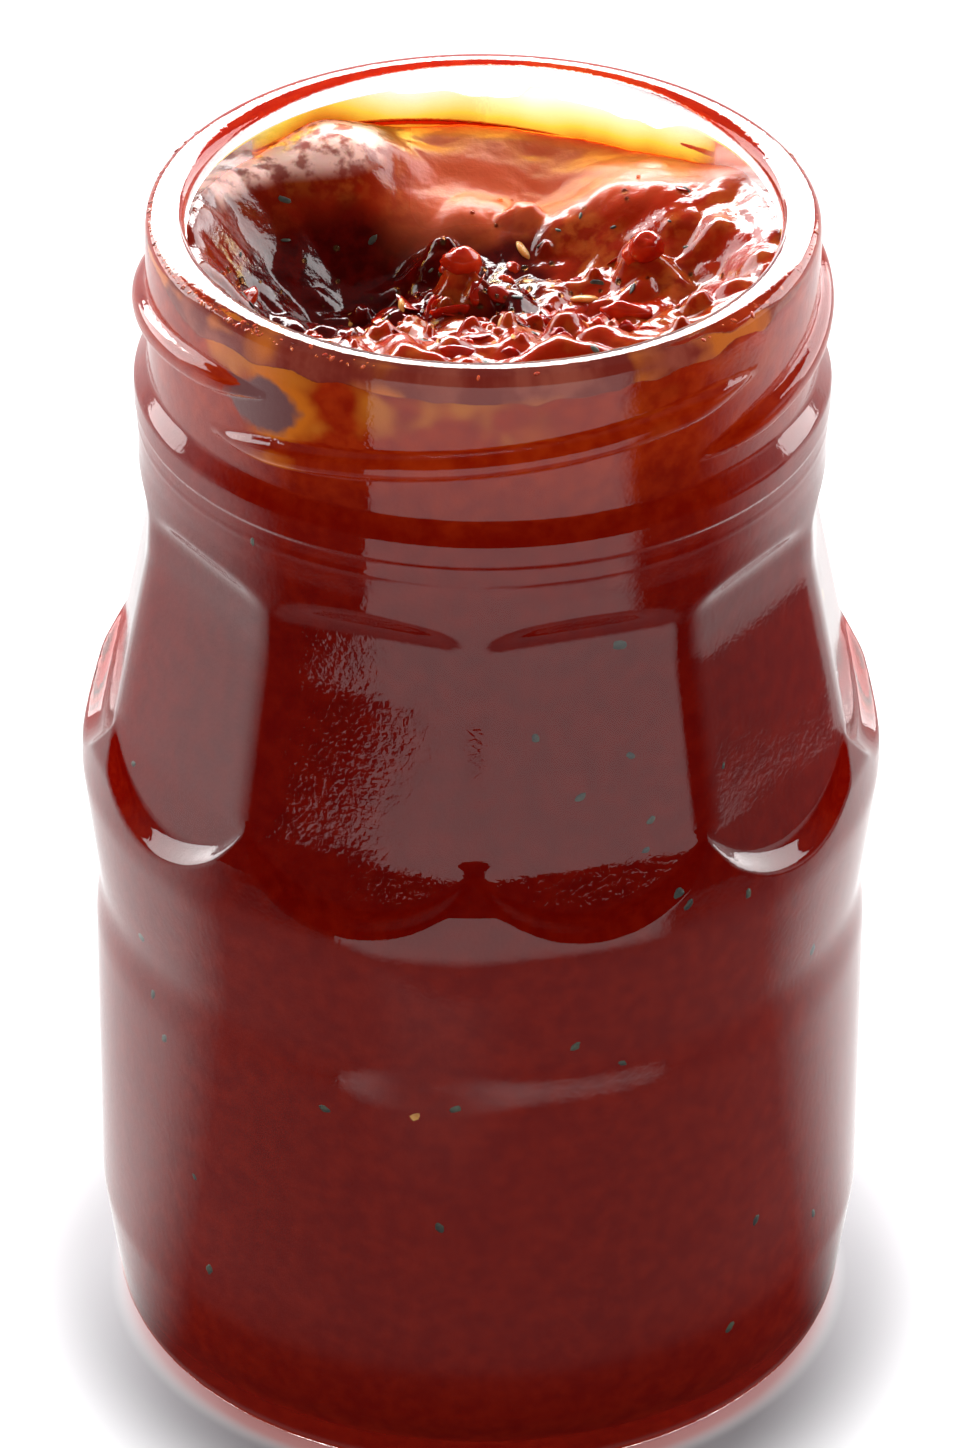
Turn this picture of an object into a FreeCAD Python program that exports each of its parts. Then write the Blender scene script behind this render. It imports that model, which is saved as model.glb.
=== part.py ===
import FreeCAD, Part
import math
import os

# A filled, open twist-off glass jar of harissa: the glass jar and the chilli paste in it.
# Millimetres. Origin at the centre of the base, on the surface it stands on. +Z is up, -Y is the front.

V = FreeCAD.Vector
UP = V(0, 0, 1)

# ---- glass jar: overall ----
jar_height = 105.0            # from the table to the crest of the rim
body_radius = 32.4            # label panel
wall = 2.4                    # glass of the body, outside to inside
facet_wall = 1.7              # glass behind the middle of a facet
floor_thickness = 3.0

# ---- base and heel ----
bearing_inner_radius = 24.5   # the jar stands on a flat ring that starts here
push_up = 1.2                 # rise of the underside's dome
heel_inset = 1.7              # how far the heel's foot stands inside the label panel
heel_height = 12.2            # from the table to the edge under the label panel
heel_rounding = 3.5
panel_edge_rounding = 9.0

# ---- label panel, groove above it and shoulder ring, heights from the rim down ----
panel_top_drop = 66.0         # the panel starts to dip into the groove this far below the rim
groove_drop = 62.6
groove_depth = 0.45           # below the panel's surface
ring_drop = 51.0              # widest part of the shoulder ring
ring_proud = 0.95             # beyond the panel's surface
ring_shoulder_drop = 46.6
ring_shoulder_inset = 0.35    # from the ring's widest radius
shoulder_foot_drop = 42.6     # where the rounded ring meets the facets' edges

# ---- ten flat facets between shoulder ring and neck ----
facet_count = 10
facet_turn = -0.9             # azimuth of one edge between facets, degrees right of the front
facet_top_apothem = 26.85     # from the axis to a facet, at the neck
facet_bend_apothem = 27.2     # and at its bend
facet_foot_inset = 1.05       # a facet's foot stands this far inside the label panel's radius
facet_bend_drop = 28.6        # facets are nearly upright above here and lean outwards below
facet_bend_rounding = 15.0
facet_top_drop = 24.9         # each facet ends here at the top and curves out to the neck
facet_top_rounding = 3.5
facet_foot_drop = 48.2        # lowest point of a facet's curved foot
flare_drop = 44.0             # below here a facet leans out a little more
flare_inset = 1.15            # how far a facet lies inside its foot's apothem at that height
flare_rounding = 12.0
foot_arc_radius = 15.0        # the foot's outline is an arc of this radius
foot_slope = 0.67             # the ledge under a facet falls this much per unit outwards
edge_fade = 0.15              # the edges between facets lean in this much towards the neck
edge_flat = 0.19              # what is rounded off the sharp edges between facets

# ---- neck and finish ----
neck_drop = 19.6              # narrow waist between facets and bead
neck_inset = 0.55             # from the bead's radius
bead_low_drop = 17.0
bead_top_drop = 12.2
neck_wall_drop = 9.6          # the upright wall of the finish ends here
mouth_radius = 24.0
finish_wall = 3.2
bead_proud = 1.2              # beyond the finish wall
lip_rounding = 1.0
lip_crown = 0.3               # how far the rim's top, before rounding, rises from its edges to its middle
lip_crown_rounding = 3.0
lug_count = 4
lug_span = 100.0              # degrees from tip to tip, so each overlaps the next
lug_turn = -49.5              # azimuth of the front lug's low tip, degrees right of the front
lug_low_drop = 11.6           # lug centre at the low tip, below the rim
lug_rise = 6.4                # from low tip to high tip
lug_crown = 1.1               # how far the lug bows above a straight rise
lug_height = 2.6
lug_proud = 1.2               # beyond the finish wall
lug_taper = 0.15              # share of its length over which each tip narrows
lug_tip_height = 0.9
lug_tip_share = 0.25          # how proud the very tip is, as a share of the lug
lug_root = 1.0                # how deep a lug is rooted in the wall
lug_sections = 12
lug_outline_steps = 8

# ---- inside of the jar ----
bore_drop = 14.0              # the straight mouth ends here
inside_foot_rounding = 4.0

# ---- harissa ----
fill_clearance = 0.18         # between paste and glass, all round
fill_drop = 4.4               # general level of the paste below the rim
back_sink = 0.85              # how much lower than that it lies at the back, and higher in front
surface_steps = 44            # intervals of the top surface's net, each way
surface_margin = 1.5          # how far the net runs past the mouth

# Forms of the spooned-out top: name, place right and back of the axis in mouth radii, rise in mm,
# half-lengths in mouth radii along and across its heading, heading in degrees from the right.
forms = [
    ("scooped hollow", -0.46, 0.16, -6.5, 0.32, 0.24, 20.0),
    ("hollow's right arm", 0.02, 0.22, -2.8, 0.34, 0.18, -8.0),
    ("trough before the mound", 0.42, -0.10, -3.1, 0.36, 0.22, 25.0),
    ("far ridge", -0.52, 0.62, 2.6, 0.30, 0.11, 22.0),
    ("peak by the wall", -0.57, 0.80, 2.4, 0.15, 0.11, 30.0),
    ("far ridge's dip", -0.10, 0.69, -1.6, 0.28, 0.10, -10.0),
    ("saddle behind", 0.24, 0.62, -1.3, 0.12, 0.16, 0.0),
    ("back valley", 0.34, 0.86, -1.0, 0.42, 0.12, -14.0),
    ("right mound", 0.78, 0.38, 1.9, 0.30, 0.20, 60.0),
    ("mound's brow", 0.40, 0.47, 0.6, 0.20, 0.10, 18.0),
    ("right wall bank", 0.98, 0.04, 2.5, 0.10, 0.30, 0.0),
    ("left wall bank", -0.97, 0.08, 3.7, 0.11, 0.34, 0.0),
    ("left shelf", -0.62, -0.22, -2.9, 0.24, 0.20, 30.0),
    ("front left bank", -0.52, -0.66, 0.4, 0.26, 0.14, -40.0),
    ("front ridge", 0.40, -0.68, 1.1, 0.40, 0.12, 12.0),
    ("front hollow", -0.16, -0.32, -2.0, 0.24, 0.16, 0.0),
    ("centre lump", -0.17, 0.27, 3.6, 0.09, 0.07, 0.0),
    ("round lump", -0.07, 0.01, 2.2, 0.085, 0.075, 0.0),
    ("near lump", -0.22, -0.36, 1.4, 0.09, 0.08, 30.0),
    ("left lump", -0.60, -0.12, 1.7, 0.10, 0.08, -20.0),
    ("soft chunk", 0.54, 0.06, 1.5, 0.075, 0.065, 0.0),
    ("right lump", 0.80, -0.28, 0.8, 0.10, 0.08, 40.0),
    ("front lump", 0.08, -0.52, 0.8, 0.10, 0.08, 10.0),
]

# ---- worked out from the sizes above ----
finish_radius = mouth_radius + finish_wall
bead_radius = finish_radius + bead_proud
half_facet = math.radians(180.0 / facet_count)
facet_foot_apothem = body_radius - facet_foot_inset
flare_apothem = facet_foot_apothem - flare_inset
flare_lean = flare_inset / (facet_foot_drop - flare_drop)
facet_lean = (flare_apothem - facet_bend_apothem) / (flare_drop - facet_bend_drop)
lip_slope = math.atan(2 * lip_crown / finish_wall)
lip_edge = jar_height - lip_crown + lip_crown_rounding * (1 / math.cos(lip_slope) - 1)


def level(drop):
    """Height above the table of what lies that far below the rim."""
    return jar_height - drop


def rounded_wire(corners):
    """Closed wire in the XZ plane through (radius, height, rounding) corners, each rounded by an arc."""
    count = len(corners)
    starts = []
    ends = []
    arcs = []
    for index, (r, z, rounding) in enumerate(corners):
        here = V(r, 0, z)
        before = V(corners[index - 1][0], 0, corners[index - 1][1])
        after = V(corners[(index + 1) % count][0], 0, corners[(index + 1) % count][1])
        back = (before - here).normalize()
        ahead = (after - here).normalize()
        opening = back.getAngle(ahead)
        if rounding == 0 or math.pi - opening < 1e-4:
            starts.append(here)
            ends.append(here)
            arcs.append(None)
            continue
        reach = rounding / math.tan(opening / 2)
        middle = (back + ahead).normalize()
        centre = here + middle * (rounding / math.sin(opening / 2))
        starts.append(here + back * reach)
        ends.append(here + ahead * reach)
        arcs.append(Part.Arc(starts[-1], centre - middle * rounding, ends[-1]).toShape())
    edges = []
    for index in range(count):
        if arcs[index] is not None:
            edges.append(arcs[index])
        follower = (index + 1) % count
        if (starts[follower] - ends[index]).Length > 1e-6:
            edges.append(Part.LineSegment(ends[index], starts[follower]).toShape())
    return Part.Wire(edges)


def spin(corners):
    """Solid of revolution about the jar's axis."""
    return Part.Face(rounded_wire(corners)).revolve(V(0, 0, 0), UP, 360)


def inside_corners(gap):
    """Outline of the jar's inside, drawn in by a gap, from the axis round to the axis."""
    inside_radius = body_radius - wall - gap
    facet_inside = facet_bend_apothem - facet_wall - gap
    foot_inside = facet_foot_apothem - facet_wall - gap
    return [
        (0, floor_thickness + gap, 0),
        (inside_radius, floor_thickness + gap, inside_foot_rounding),
        (inside_radius, level(ring_drop + 2.0), 12.0),
        (foot_inside, level(facet_foot_drop), 12.0),
        (facet_inside, level(facet_bend_drop), facet_bend_rounding),
        (facet_inside, level(facet_top_drop - 4.0), 12.0),
        (mouth_radius - gap, level(bore_drop), 12.0),
    ]


def round_jar():
    """The jar as turned on its axis, before facets and lugs."""
    ring_radius = body_radius + ring_proud
    bend_edge = facet_bend_apothem / math.cos(half_facet) - edge_flat
    foot_rise = flare_drop - shoulder_foot_drop
    foot_edge = (flare_apothem - facet_lean * foot_rise) / math.cos(half_facet) - edge_flat
    return spin([
        (0, 0, 0),
        (body_radius - heel_inset, 0, heel_rounding),
        (body_radius, heel_height, panel_edge_rounding),
        (body_radius, level(panel_top_drop), 15.0),
        (body_radius - groove_depth, level(groove_drop), 9.0),
        (ring_radius, level(ring_drop), 9.0),
        (ring_radius - ring_shoulder_inset, level(ring_shoulder_drop), 3.0),
        (foot_edge, level(shoulder_foot_drop), 1.0),
        (bend_edge, level(facet_bend_drop), facet_bend_rounding),
        (bend_edge - edge_fade, level(facet_top_drop), 5.0),
        (bead_radius - neck_inset, level(neck_drop), 1.5),
        (bead_radius, level(bead_low_drop), 1.6),
        (bead_radius, level(bead_top_drop), 2.0),
        (finish_radius, level(neck_wall_drop), 2.0),
        (finish_radius, lip_edge, lip_rounding),
        (mouth_radius + finish_wall / 2, lip_edge + lip_crown, lip_crown_rounding),
        (mouth_radius, lip_edge, lip_rounding),
    ] + inside_corners(0)[::-1])


def facet_cutter():
    """What is cut away in front of one facet that faces +X."""
    reach = body_radius * 1.5
    across = facet_foot_apothem * math.tan(half_facet) * 1.25
    top = level(facet_top_drop)
    foot = level(facet_foot_drop)
    below = foot_arc_radius
    outline = rounded_wire([
        (facet_foot_apothem + flare_lean * below, foot - below, 0),
        (flare_apothem, level(flare_drop), flare_rounding),
        (facet_bend_apothem, level(facet_bend_drop), facet_bend_rounding),
        (facet_top_apothem, top + facet_top_rounding, facet_top_rounding - 0.05),
        (reach, top + facet_top_rounding, 0),
        (reach, foot - below, 0),
    ])
    slab = Part.Face(outline).extrude(V(0, 2 * across, 0))
    slab.translate(V(0, -across, 0))
    cone_start = facet_foot_apothem - foot_arc_radius / foot_slope * 0.6
    start_radius = foot_arc_radius * 0.4
    end_radius = foot_arc_radius + foot_slope * (reach - facet_foot_apothem)
    centre = foot + foot_arc_radius
    foot_cone = Part.makeCone(start_radius, end_radius, reach - cone_start, V(cone_start, 0, centre), V(1, 0, 0))
    above = Part.makeBox(reach, 2 * across, jar_height - centre, V(0, -across, centre))
    return slab.common(foot_cone.fuse(above))


def lug_section(share):
    """Closed outline across the front lug, at a share of its length from its low tip."""
    fullness = math.sin(math.pi / 2 * min(1.0, min(share, 1 - share) / lug_taper))
    half = (lug_tip_height + (lug_height - lug_tip_height) * fullness) / 2
    outer = finish_radius + lug_proud * (lug_tip_share + (1 - lug_tip_share) * fullness)
    inner = finish_radius - lug_root
    centre = level(lug_low_drop) + lug_rise * share + lug_crown * 4 * share * (1 - share)
    front = []
    for step in range(lug_outline_steps + 1):
        angle = math.pi * (step / lug_outline_steps - 0.5)
        out = (outer - inner) * math.sqrt(max(0.0, math.cos(angle)))
        up = half * math.copysign(abs(math.sin(angle)) ** 0.8, angle)
        front.append(V(inner + out, 0, centre + up))
    curve = Part.BSplineCurve()
    curve.interpolate(front)
    wire = Part.Wire([curve.toShape(), Part.LineSegment(front[-1], front[0]).toShape()])
    wire.rotate(V(0, 0, 0), UP, lug_turn + lug_span * share - 90)
    return wire


def lug():
    return Part.makeLoft([lug_section(step / lug_sections) for step in range(lug_sections + 1)], True)


def turned(shape, angle):
    copy = shape.copy()
    copy.rotate(V(0, 0, 0), UP, angle)
    return copy


def push_up_dome():
    """The shallow dome under the base, as a slice of a sphere."""
    radius = (bearing_inner_radius ** 2 + push_up ** 2) / (2 * push_up)
    return Part.makeSphere(radius, V(0, 0, push_up - radius))


def glass_jar():
    facet_step = 360.0 / facet_count
    first_facet = facet_turn - 90 + facet_step / 2
    cutters = [turned(facet_cutter(), first_facet + facet_step * k) for k in range(facet_count)]
    lugs = [turned(lug(), 360.0 / lug_count * k) for k in range(lug_count)]
    jar = round_jar().cut(cutters).cut(push_up_dome())
    return jar.fuse(lugs)


def paste_height(x, y):
    """Height of the paste's top at a place right and back of the axis."""
    height = level(fill_drop) - back_sink * y / mouth_radius
    for _, right, back, rise, along, across, heading in forms:
        dx = x / mouth_radius - right
        dy = y / mouth_radius - back
        turn = math.radians(heading)
        u = (dx * math.cos(turn) + dy * math.sin(turn)) / along
        v = (dy * math.cos(turn) - dx * math.sin(turn)) / across
        height += rise * math.exp(-(u * u + v * v) / 2)
    return min(height, jar_height - 0.6)


def harissa():
    """The paste: the jar's inside up to its uneven, spooned-out top."""
    blank = spin(inside_corners(fill_clearance) + [
        (mouth_radius - fill_clearance, jar_height, 0),
        (0, jar_height, 0),
    ])
    reach = mouth_radius + surface_margin
    places = [reach * (2.0 * step / surface_steps - 1) for step in range(surface_steps + 1)]
    net = [[V(x, y, paste_height(x, y)) for y in places] for x in places]
    top = Part.BSplineSurface()
    top.interpolate(net)
    above = top.toShape().extrude(V(0, 0, jar_height))
    return blank.cut(above)


def save(name, shape):
    solids = shape.Solids
    if len(solids) != 1 or not shape.isValid():
        raise ValueError("%s has %d solids, valid: %s" % (name, len(solids), shape.isValid()))
    solids[0].exportStep("parts/%s.step" % name)
    print("%s volume %.0f mm3, box %s" % (name, solids[0].Volume, solids[0].BoundBox))


os.makedirs("parts", exist_ok=True)
save("glass_jar", glass_jar())
save("harissa", harissa())
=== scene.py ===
import bpy
import math
import numpy as np
from mathutils import Matrix, Vector


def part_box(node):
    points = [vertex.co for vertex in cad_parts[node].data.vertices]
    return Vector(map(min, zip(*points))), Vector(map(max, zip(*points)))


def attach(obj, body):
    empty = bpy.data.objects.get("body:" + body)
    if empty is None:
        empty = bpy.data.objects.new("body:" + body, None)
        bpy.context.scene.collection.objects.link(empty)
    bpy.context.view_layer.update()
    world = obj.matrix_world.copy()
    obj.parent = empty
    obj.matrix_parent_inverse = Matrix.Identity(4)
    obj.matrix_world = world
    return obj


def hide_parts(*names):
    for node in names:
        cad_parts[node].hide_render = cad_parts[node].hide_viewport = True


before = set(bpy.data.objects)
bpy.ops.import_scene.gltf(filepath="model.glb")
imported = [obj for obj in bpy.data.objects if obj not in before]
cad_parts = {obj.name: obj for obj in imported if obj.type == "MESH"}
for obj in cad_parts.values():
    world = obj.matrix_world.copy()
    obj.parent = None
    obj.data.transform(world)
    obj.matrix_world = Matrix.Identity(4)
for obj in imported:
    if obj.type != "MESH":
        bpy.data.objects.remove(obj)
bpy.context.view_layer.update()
MM = 0.001
rng = np.random.default_rng(7)

# ------------------------------------------------------------------ sizes of the jar, in millimetres
jar_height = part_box("glass_jar")[1].z / MM
body_radius = 32.4
wall = 2.4
facet_wall = 1.7
floor_thickness = 3.0
push_up = 1.2
bearing_radius = 24.5
mouth_radius = 24.0
finish_radius = 27.2
bead_radius = 28.4
half_facet = math.radians(18)
facet_turn = math.radians(-0.9)
foot_apothem = 31.35
bend_apothem = 27.2
top_apothem = 26.85
flare_apothem = 30.2
flare_z = jar_height - 44.0
foot_z = jar_height - 48.2
bend_z = jar_height - 28.6
top_z = jar_height - 24.9
flare_lean = (foot_apothem - flare_apothem) / (flare_z - foot_z)
edge_cut = 0.27          # how far the rounding takes the facets' corners back
lip_drop = 0.248         # from the rim's top to where its crown starts
scallop_radius = 15.0    # of the arcs that the facets' feet follow
heel_top = 8.2           # where the uneven wall starts above the round heel
thread_count = 4
facet_count = 10


def level(drop):
    return jar_height - drop


# ------------------------------------------------------------------ numbers
def smooth_min(a, b, k):
    h = np.clip(0.5 + 0.5 * (b - a) / k, 0, 1)
    return b * (1 - h) + a * h - k * h * (1 - h)


def smooth_max(a, b, k):
    return -smooth_min(-a, -b, k)


def step_up(x, a, b):
    t = np.clip((x - a) / (b - a), 0, 1)
    return t * t * (3 - 2 * t)


_perm = rng.permutation(256)
_grad = rng.normal(size=(256, 3))
_grad /= np.linalg.norm(_grad, axis=1)[:, None]


def noise(x, y, z=0.0):
    """Smooth gradient noise, about -0.6 to 0.6, for arrays of points."""
    p = np.stack(np.broadcast_arrays(np.asarray(x, float), y, z), -1)
    base = np.floor(p).astype(int)
    f = p - base
    w = f * f * f * (f * (f * 6 - 15) + 10)
    total = 0.0
    for cx in (0, 1):
        for cy in (0, 1):
            for cz in (0, 1):
                i = _perm[(base[..., 0] + cx) & 255]
                i = _perm[(i + base[..., 1] + cy) & 255]
                i = _perm[(i + base[..., 2] + cz) & 255]
                g = _grad[i]
                d = f - np.array([cx, cy, cz])
                dot = (g * d).sum(-1)
                weight = (w[..., 0] if cx else 1 - w[..., 0])
                weight = weight * (w[..., 1] if cy else 1 - w[..., 1])
                weight = weight * (w[..., 2] if cz else 1 - w[..., 2])
                total = total + weight * dot
    return total


def rounded_profile(corners, per_arc=10):
    """Points along an open line through (radius, height, rounding) corners, each rounded by an arc."""
    points = []
    for index, (r, z, rounding) in enumerate(corners):
        here = np.array([r, z], float)
        if rounding == 0 or index in (0, len(corners) - 1):
            points.append(here)
            continue
        back = np.array(corners[index - 1][:2], float) - here
        ahead = np.array(corners[index + 1][:2], float) - here
        back /= np.linalg.norm(back)
        ahead /= np.linalg.norm(ahead)
        opening = math.acos(float(np.clip(back @ ahead, -1, 1)))
        if math.pi - opening < 1e-4:
            points.append(here)
            continue
        middle = (back + ahead) / np.linalg.norm(back + ahead)
        centre = here + middle * rounding / math.sin(opening / 2)
        start = here + back * rounding / math.tan(opening / 2) - centre
        turn = math.pi - opening
        if back[0] * ahead[1] - back[1] * ahead[0] > 0:
            turn = -turn
        for k in range(per_arc + 1):
            a = turn * k / per_arc
            points.append(centre + np.array([start[0] * math.cos(a) - start[1] * math.sin(a),
                                             start[0] * math.sin(a) + start[1] * math.cos(a)]))
    return np.array(points)


# ------------------------------------------------------------------ the jar's outside
bend_edge = bend_apothem / math.cos(half_facet) - edge_cut
foot_edge = (foot_apothem - flare_lean * 4.2 - edge_cut) / math.cos(half_facet) - edge_cut
outside = rounded_profile([
    (bearing_radius, 0, 0),
    (body_radius - 1.7, 0, 3.5),
    (body_radius, 12.2, 9.0),
    (body_radius, level(66.0), 15.0),
    (body_radius - 0.45, level(62.6), 9.0),
    (body_radius + 0.95, level(51.0), 9.0),
    (body_radius + 0.6, level(46.6), 3.0),
    (foot_edge, level(42.6), 1.0),
    (bend_edge, bend_z, 15.0),
    (bend_edge - 0.15, top_z, 5.0),
    (bead_radius - 0.3, level(20.6), 4.0),
    (bead_radius - 0.16, level(16.9), 0.25),
    (bead_radius, level(16.6), 0.15),
    (bead_radius, level(14.7), 0.7),
    (finish_radius + 0.06, level(13.1), 0.6),
    (finish_radius, jar_height - lip_drop, 1.0),
    ((finish_radius + mouth_radius) / 2, jar_height + 0.052, 3.0),
    (mouth_radius, jar_height - lip_drop, 1.0),
    (mouth_radius, level(14.0), 0),
], 9)
facet_line = rounded_profile([
    (foot_apothem + flare_lean * 15, foot_z - 15, 0),
    (flare_apothem, flare_z, 12.0),
    (bend_apothem, bend_z, 15.0),
    (top_apothem, top_z + 3.5, 3.45),
    (body_radius * 1.5, top_z + 3.5, 0),
], 16)
inside = rounded_profile([
    (0, floor_thickness, 0),
    (body_radius - wall, floor_thickness, 4.0),
    (body_radius - wall, level(53.0), 12.0),
    (foot_apothem - facet_wall, foot_z, 12.0),
    (bend_apothem - facet_wall, bend_z, 15.0),
    (bend_apothem - facet_wall, level(20.9), 12.0),
    (mouth_radius, level(14.0), 12.0),
    (mouth_radius, jar_height - 1.3, 0),
], 6)
lip_line = outside[(outside[:, 1] > jar_height - 1.3)][::-1]
heel_end = int(np.argmax(outside[:, 1] > 8.0))
lip_start = int(np.argmax(outside[:, 1] > jar_height - 1.2))
upright = outside[heel_end - 1:lip_start]


def round_radius(z):
    return np.interp(z, upright[:, 1], upright[:, 0])


def inside_radius(z):
    up = inside[inside[:, 0] > body_radius - wall - 8]
    return np.interp(z, up[:, 1], up[:, 0])


def facet_apothem(z):
    line = facet_line[:-1]
    over = np.clip(z - line[-1, 1], 0, None) * 40
    return np.interp(z, line[:, 1], line[:, 0]) + over


def facet_radius(az, z):
    """Radius of the facets' ring, with the scalloped ledge under it."""
    turn = np.mod(az - facet_turn, 2 * half_facet) - half_facet
    plane = (facet_apothem(z) + 0.05 * (1 - (turn / half_facet) ** 2)) / np.cos(turn)
    centre = foot_z + scallop_radius
    s, c = np.abs(np.sin(turn)), np.cos(turn)
    slope = 0.67
    start = scallop_radius - slope * foot_apothem
    a = s * s - (slope * c) ** 2
    b = -2 * start * slope * c
    q = (z - centre) ** 2 - start ** 2
    root = np.sqrt(np.clip(b * b - 4 * a * q, 0, None))
    cone = np.where(np.abs(a) < 1e-9, plane, (-b - root) / (2 * a))
    cone = np.where((cone < 0) | (cone > 60), (-b + root) / (2 * a), cone)
    cone = np.where(z < centre - 0.3, cone, 0.0)
    cone = np.clip(cone, 0, 60)
    return smooth_max(plane, cone, 0.5)


def lug_radius(az, z):
    """Radius of the four raised threads, nothing (0) elsewhere."""
    best = np.zeros(np.broadcast(az, z).shape)
    for k in range(thread_count):
        start = math.radians(-49.5 + 90 * k)
        share = np.mod(az - start, 2 * math.pi) / math.radians(100)
        on = share <= 1
        share = np.clip(share, 0, 1)
        full = np.sin(math.pi / 2 * np.minimum(1, np.minimum(share, 1 - share) / 0.15))
        half = (0.9 + 1.8 * full) / 2
        out = 1.0 + 1.2 * (0.25 + 0.75 * full)
        middle = level(10.7) + 5.4 * share + 1.2 * share * (1 - share)
        d = np.clip(np.abs(z - middle) / half, 0, 1)
        body = finish_radius - 1.0 + out * (1 - d ** 2.6) ** 0.42
        best = np.maximum(best, np.where(on & (d < 1), body, 0))
    return best


def outer_radius(az, z):
    r = round_radius(z)
    near = (z > 50) & (z < 87)
    r = np.where(near, smooth_min(r, facet_radius(az, z), 0.32), r)
    r = smooth_max(r, lug_radius(az, z), 0.09)
    r = r + 0.05 * np.exp(-((z - 86.7) / 0.16) ** 2)
    x, y = np.sin(az), -np.cos(az)
    drift = noise(x * 2.2 + 5, y * 2.2, z / 16) * 0.06 + noise(x * 5 + 9, y * 5, z / 7) * 0.02
    return r + drift * step_up(z, 9, 16) * (1 - step_up(z, 98, 103))


# ------------------------------------------------------------------ meshes
def make(name, points, quads):
    """A smooth object from points in millimetres."""
    mesh = bpy.data.meshes.new(name)
    mesh.from_pydata([tuple(p) for p in np.asarray(points) * MM], [], [tuple(int(i) for i in q) for q in quads])
    mesh.validate()
    mesh.polygons.foreach_set("use_smooth", [True] * len(mesh.polygons))
    mesh.update()
    obj = bpy.data.objects.new(name, mesh)
    bpy.context.scene.collection.objects.link(obj)
    return obj


def rings_to_mesh(name, rings):
    """A closed skin over rings of points, each ring (columns, 3), from the first pole to the last."""
    rings = np.array(rings)
    rows, columns = rings.shape[:2]
    index = np.arange(rows * columns).reshape(rows, columns)
    nxt = np.roll(index, -1, axis=1)
    quads = np.stack([index[:-1], nxt[:-1], nxt[1:], index[1:]], -1).reshape(-1, 4).tolist()
    first_pole, last_pole = rows * columns, rows * columns + 1
    quads += [[first_pole, b, a] for a, b in zip(index[0], nxt[0])]
    quads += [[last_pole, a, b] for a, b in zip(index[-1], nxt[-1])]
    points = np.vstack([rings.reshape(-1, 3), [rings[0].mean(0), rings[-1].mean(0)]])
    return make(name, points, quads)


# columns closer together beside the edges between facets
fractions = np.array([0, 2, 4, 6, 8, 9.6, 11.1, 12.4, 13.5, 14.5, 15.3, 15.9, 16.4, 16.8, 17.2, 17.6])
half_steps = np.concatenate([-fractions[::-1][:-1], fractions, [18.0]])
azimuths = np.concatenate([facet_turn + half_facet * (1 + 2 * k) + np.radians(half_steps)
                           for k in range(facet_count)])


def ring(az, radius, z):
    return np.stack([np.sin(az) * radius, -np.cos(az) * radius, np.broadcast_to(z, az.shape)], -1)


def nominal_rows():
    """Heights of the rows of the outside wall: (start, rows up to the next start)."""
    starts = ((heel_top, 8), (14, 12), (36, 26), (56, 22), (62, 10), (77, 22), (85, 12), (88, 7), (88.6, 92),
              (101.8, 0))
    parts = [np.linspace(low, high, rows, endpoint=False)
             for (low, rows), (high, _) in zip(starts, starts[1:])]
    return np.concatenate(parts + [np.linspace(101.8, 103.4, 4)])


def bent_height(z, az):
    """The height of a row at each azimuth, bent so that rows run along the facets' feet and tops."""
    if not 49 < z < 88:
        return np.full(az.shape, z)
    turn = np.mod(az - facet_turn, 2 * half_facet) - half_facet
    half_width = np.minimum(np.abs(turn), math.radians(16.8))
    aside = 30.9 * np.tan(half_width)
    foot = foot_z + scallop_radius - np.sqrt(scallop_radius ** 2 - aside * aside)
    top = 82.7 - 2.2 * (np.abs(turn) / half_facet) ** 2.5
    row = np.interp(z, [49, 58.5, 68, 81.5, 88], range(5))
    return np.array([np.interp(row, range(5), [49, f, 68, t, 88]) for f, t in zip(foot, top)])


def build_glass():
    """From the dome under the jar, up the outside, over the rim and down the inside."""
    rings = []
    dome = (bearing_radius ** 2 + push_up ** 2) / (2 * push_up)
    for r in np.linspace(3, 24, 8):
        rings.append(ring(azimuths, r, math.sqrt(dome ** 2 - r * r) + push_up - dome))
    for r, z in outside[:heel_end]:
        if z < heel_top:
            rings.append(ring(azimuths, r, z))
    for z in nominal_rows():
        height = bent_height(z, azimuths)
        rings.append(ring(azimuths, outer_radius(azimuths, height), height))
    for r, z in outside[lip_start:-1]:
        rings.append(ring(azimuths, r, z))
    for r, z in inside[::-1][1:-1]:
        rings.append(ring(azimuths, r, z))
    rings.append(ring(azimuths, 15.0, floor_thickness))
    return rings_to_mesh("jar_glass", rings)


glass = build_glass()

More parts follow.
